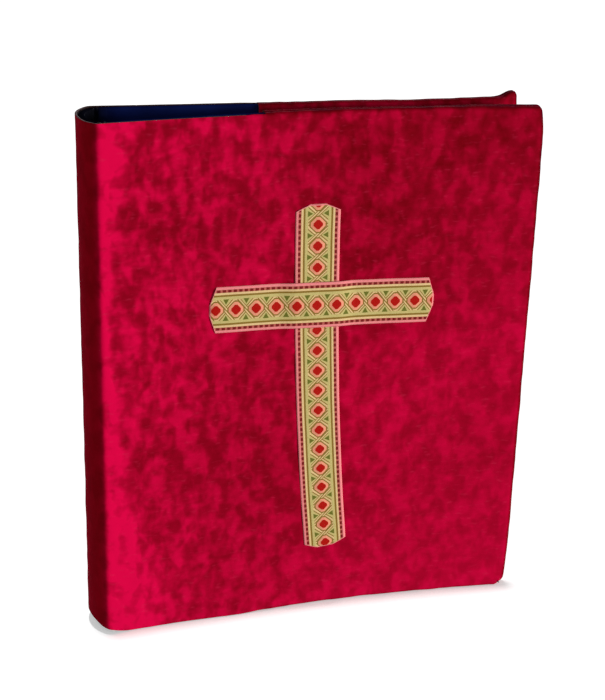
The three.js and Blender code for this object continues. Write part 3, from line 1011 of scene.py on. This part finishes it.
def punched_outline():
    """One sheet as a flat mesh in x and z, with its corners and four punched holes."""
    (x0, _, z0), (x1, _, z1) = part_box("front_pages")
    curve = bpy.data.curves.new("sheet_outline", "CURVE")
    curve.dimensions = "2D"
    curve.fill_mode = "BOTH"
    hole_x = x0 + HOLE_MARGIN * MM
    radius = HOLE_RADIUS * MM
    loops = [[(x0, z0), (x1, z0), (x1, z1), (x0, z1)]]
    turn = full_turn(32)
    for z in RING_Z:
        loops.append([(hole_x + radius * math.cos(a), z * MM + radius * math.sin(a)) for a in turn])
    for loop in loops:
        spline = curve.splines.new("POLY")
        spline.points.add(len(loop) - 1)
        spline.points.foreach_set("co", [c for u, v in loop for c in (u, v, 0, 1)])
        spline.use_cyclic_u = True
    holder = new_object("sheet_outline", curve)
    mesh = evaluated_mesh(holder)
    plan = np.array([(v.co.x, v.co.y) for v in mesh.vertices]) / MM
    faces = [tuple(p.vertices) for p in mesh.polygons]
    edges = {}
    for face in faces:
        for a, b in zip(face, (*face[1:], face[0])):
            key = (min(a, b), max(a, b))
            edges[key] = None if key in edges else (a, b)
    border = [e for e in edges.values() if e]
    bpy.data.objects.remove(holder)
    return plan, faces, border


def sheet_stack(name, count, outline, material):
    """A stack of loose punched sheets that fills its node, each a hair out of line with the next."""
    plan, flat_faces, border = outline
    low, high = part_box(name)
    pitch = (high.y - low.y) / MM / count
    thick = min(SHEET_THICKNESS, pitch * 0.7)
    swell_height = 0.0 if count == 1 else 0.25 * pitch
    points, faces = [], []
    for i in range(count):
        slip_x = noise.noise(Vector((i * 3.7, 1, low.y * 900)))
        slip_z = noise.noise(Vector((5, i * 2.9, 2)))
        y = low.y / MM + pitch * (i + 0.5)
        for face_y in (y - thick / 2, y + thick / 2):
            swell = swell_height * np.sin(plan[:, 0] / 31 + i) * np.cos(plan[:, 1] / 47 + i * 2)
            points.append(np.stack([
                plan[:, 0] + 0.35 * slip_x, face_y + swell, plan[:, 1] + 0.45 * slip_z,
            ], axis=1))
        a, b = 2 * i * len(plan), (2 * i + 1) * len(plan)
        faces += [tuple(a + v for v in f) for f in flat_faces]
        faces += [tuple(b + v for v in reversed(f)) for f in flat_faces]
        faces += [(a + v, a + u, b + u, b + v) for u, v in border]
    points = np.concatenate(points)
    stack = make_object(f"{name}_sheets", points, faces, [material], smooth=False, sheet=points * MM)
    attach(stack, name)
    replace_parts(stack, name)


# ---- ring mechanism


def ring_half(side, number, z, steel):
    """Half a ring wire, bent round to its foot on the rail."""
    tip = 0.15 / RING_RADIUS
    angle = np.linspace(tip, RING_FOOT_ANGLE, 40)
    x, y = RING_X + RING_RADIUS * np.cos(angle), side * RING_RADIUS * np.sin(angle)
    x = np.concatenate([x, np.linspace(x[-1] - 0.35, RAIL_TOP_X - 0.05, 4)])
    y = np.concatenate([y, np.full(4, y[-1])])
    path = np.stack([x, y, np.full(len(x), z)], axis=1)
    radius = np.full(len(path), WIRE_RADIUS)
    radius[0] = WIRE_RADIUS * 0.8
    points, faces = tube(path, radius, 20)
    label = SIDE_NAME[side]
    piece = make_object(f"{label}_ring_wire_{number}", points, faces, [steel])
    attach(piece, f"{label}_rings")
    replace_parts(piece, f"{label}_ring_half_{number}")


def cover_plate(steel):
    """The arched plate over the rails, with a slot for each ring half."""
    notch = NOTCH_INNER_Y / PLATE_HALF
    slot_angle = math.asin(notch)
    angle = np.concatenate([
        np.linspace(-math.pi / 2, -slot_angle, 14),
        np.linspace(-slot_angle, slot_angle, 7)[1:-1],
        np.linspace(slot_angle, math.pi / 2, 14),
    ])
    slot_ends = [z + end for z in RING_Z for end in (-NOTCH_HALF, NOTCH_HALF)]
    z_lines = [
        z for z in sorted({*np.linspace(*PLATE_Z, 56), *slot_ends})
        if not any(1e-6 < abs(z - r) < NOTCH_HALF - 1e-6 for r in RING_Z)
    ]
    a, z = np.meshgrid(angle, z_lines, indexing="ij")
    points = np.stack([
        PLATE_BASE_X + PLATE_CROWN * np.cos(a), PLATE_HALF * np.sin(a), z,
    ], axis=-1).reshape(-1, 3)
    faces = []
    for quad in grid_quads(*a.shape):
        _, across, middle = points[quad].mean(axis=0)
        beside = abs(across) > NOTCH_INNER_Y
        if not (beside and any(abs(middle - r) < NOTCH_HALF for r in RING_Z)):
            faces.append(quad)
    plate = make_object("ring_plate", points, faces, [steel])
    thicken(plate, PLATE_WALL)
    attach(plate, "spine")
    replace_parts(plate, "ring_cover_plate")


def rivet(name, z, steel):
    """A rivet with a low domed head on the plate."""
    flange = [(0, 0), (3.3, 0), (3.5, 0.3), (3.3, 0.6), (1.7, 0.6)]
    head = [(1.7, 9.9), (2.9, 9.9), (3.0, 10.05)]
    dome = [(3.0 * math.cos(t), 10.05 + 0.5 * math.sin(t)) for t in np.linspace(0.3, math.pi / 2, 6)]
    profile = flange + head + dome
    turn = full_turn(32)
    points = []
    for r, h in profile:
        r = max(r, 0.01)
        points += [(RIVET_FOOT_X + h, r * math.cos(t), z + r * math.sin(t)) for t in turn]
    piece = make_object(f"{name}_head", points, ring_quads(len(profile), len(turn)), [steel])
    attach(piece, "spine")
    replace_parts(piece, name)


# ---- camera, light and floor

CAMERA_PLACE = (-0.2371, -0.8380, 0.5237)
CAMERA_TURN = (15.657, 22.034, 1.696)  # yaw to the right, pitch down and roll, in degrees
CAMERA_LENS = 79.94


def set_camera():
    """The camera stands above the front cover's left edge and looks down at the book."""
    yaw, pitch, roll = (math.radians(a) for a in CAMERA_TURN)
    ahead = Vector((math.sin(yaw) * math.cos(pitch), math.cos(yaw) * math.cos(pitch), -math.sin(pitch)))
    level = Vector((math.cos(yaw), -math.sin(yaw), 0))
    rise = level.cross(ahead)
    right = level * math.cos(roll) + rise * math.sin(roll)
    up = rise * math.cos(roll) - level * math.sin(roll)
    data = bpy.data.cameras.new("camera")
    data.lens = CAMERA_LENS
    data.clip_start = 0.02
    camera = new_object("camera", data)
    turned = Matrix((right, up, -ahead)).transposed().to_4x4()
    camera.matrix_world = Matrix.Translation(CAMERA_PLACE) @ turned
    bpy.context.scene.camera = camera


def area_light(name, place, target, size, power):
    data = bpy.data.lights.new(name, "AREA")
    data.shape = "DISK"
    data.size = size
    data.energy = power
    light = new_object(name, data)
    light.location = place
    light.rotation_euler = (Vector(target) - Vector(place)).to_track_quat("-Z", "Y").to_euler()
    return light


def studio():
    """A soft key from the right, a light behind, and a pale sweep under and around the book.
    The floor has a sun of its own and sends no light back, so that the cloth's colour stays clean."""
    scene = bpy.context.scene
    scene.view_settings.view_transform = "Standard"
    world = bpy.data.worlds.new("studio")
    world.use_nodes = True
    background = world.node_tree.nodes["Background"]
    background.inputs["Color"].default_value = (1, 1, 1, 1)
    background.inputs["Strength"].default_value = 0.30
    scene.world = world
    key = area_light("key", place=(1.60, -1.25, 0.22), target=(0, 0, 0.14), size=0.8, power=54)
    rear = area_light("rear", place=(0.7, 1.9, 0.45), target=(0, 0, 0.15), size=1.2, power=30)

    bend, flat = 1.5, 4.5
    profile = [(1e-4, 0), (flat / 2, 0), (flat, 0)]
    for t in np.linspace(0.15, 1.57, 10):
        profile.append((flat + bend * math.sin(t), bend * (1 - math.cos(t))))
    profile.append((flat + bend, 5))
    turn = full_turn(64)
    points = [(r * math.cos(t) / MM, r * math.sin(t) / MM, h / MM) for r, h in profile for t in turn]
    faces = ring_quads(len(profile), len(turn), capped=False)
    shader = Shader(
        "pale_floor", 0.9, specular_ior_level=0.1, base_color=(0.82, 0.82, 0.82, 1),
        emission_color=(1, 1, 1, 1), emission_strength=0.43,
    )
    floor = make_object("floor", points, faces, [shader.material])
    floor.location.z = -0.0002
    floor.visible_diffuse = False

    data = bpy.data.lights.new("floor_light", "SUN")
    data.angle = math.radians(2.2)
    data.energy = 1.78
    overhead = new_object("floor_light", data)
    overhead.rotation_euler = Vector((0.013, -0.016, -1)).to_track_quat("-Z", "Y").to_euler()
    only_floor = bpy.data.collections.new("only_floor")
    only_floor.objects.link(floor)
    overhead.light_linking.receiver_collection = only_floor
    all_but_floor = bpy.data.collections.new("all_but_floor")
    all_but_floor.objects.link(floor)
    all_but_floor.collection_objects[0].light_linking.link_state = "EXCLUDE"
    for light in (key, rear):
        light.light_linking.receiver_collection = all_but_floor


# ---- the book


def build():
    velvet, backing = velvet_material(), backing_material()
    vinyl, matte = vinyl_material("vinyl", 0.03), vinyl_material("vinyl_edge", 0.0)
    steel, paper, thread = steel_material(), paper_material(), thread_material()
    for name in (
        "front_rail", "back_rail", "lower_lever", "upper_lever", "lower_lever_pin", "upper_lever_pin",
    ):
        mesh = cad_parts[name].data
        mesh.materials.clear()
        mesh.materials.append(steel)

    covers = {side: slipcover(side, velvet, backing) for side in (FRONT, BACK)}
    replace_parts(covers[FRONT], "front_velvet_pouch", "spine_velvet")
    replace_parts(covers[BACK], "back_velvet_pouch", "spine_velvet")
    for side in (FRONT, BACK):
        label = SIDE_NAME[side]
        hem_stitches(side, thread)
        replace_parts(binder_skin(side, vinyl, matte), f"{label}_film", f"{label}_board", f"{label}_lining")
        hinge_film(side, vinyl)
    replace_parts(spine_skin(vinyl, matte), "spine_film", "spine_board", "spine_lining")

    for node, band, under in (("braid_vertical", UPRIGHT, None), ("braid_horizontal", BAR, UPRIGHT)):
        material = braid_material(f"{node}_weave", band.repeat)
        strip = braid_mesh(f"{node}_woven", band, material, under)
        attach(strip, "front_cover")
        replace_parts(strip, node)

    outline = punched_outline()
    for name, count in (("title_leaf", 1), ("front_pages", 13), ("back_pages", 12), ("end_leaf", 1)):
        sheet_stack(name, count, outline, paper)

    cover_plate(steel)
    for name, z in RIVET_Z.items():
        rivet(name, z, steel)
    for side in (FRONT, BACK):
        for number, z in enumerate(RING_Z, 1):
            ring_half(side, number, z, steel)


set_camera()
studio()
build()
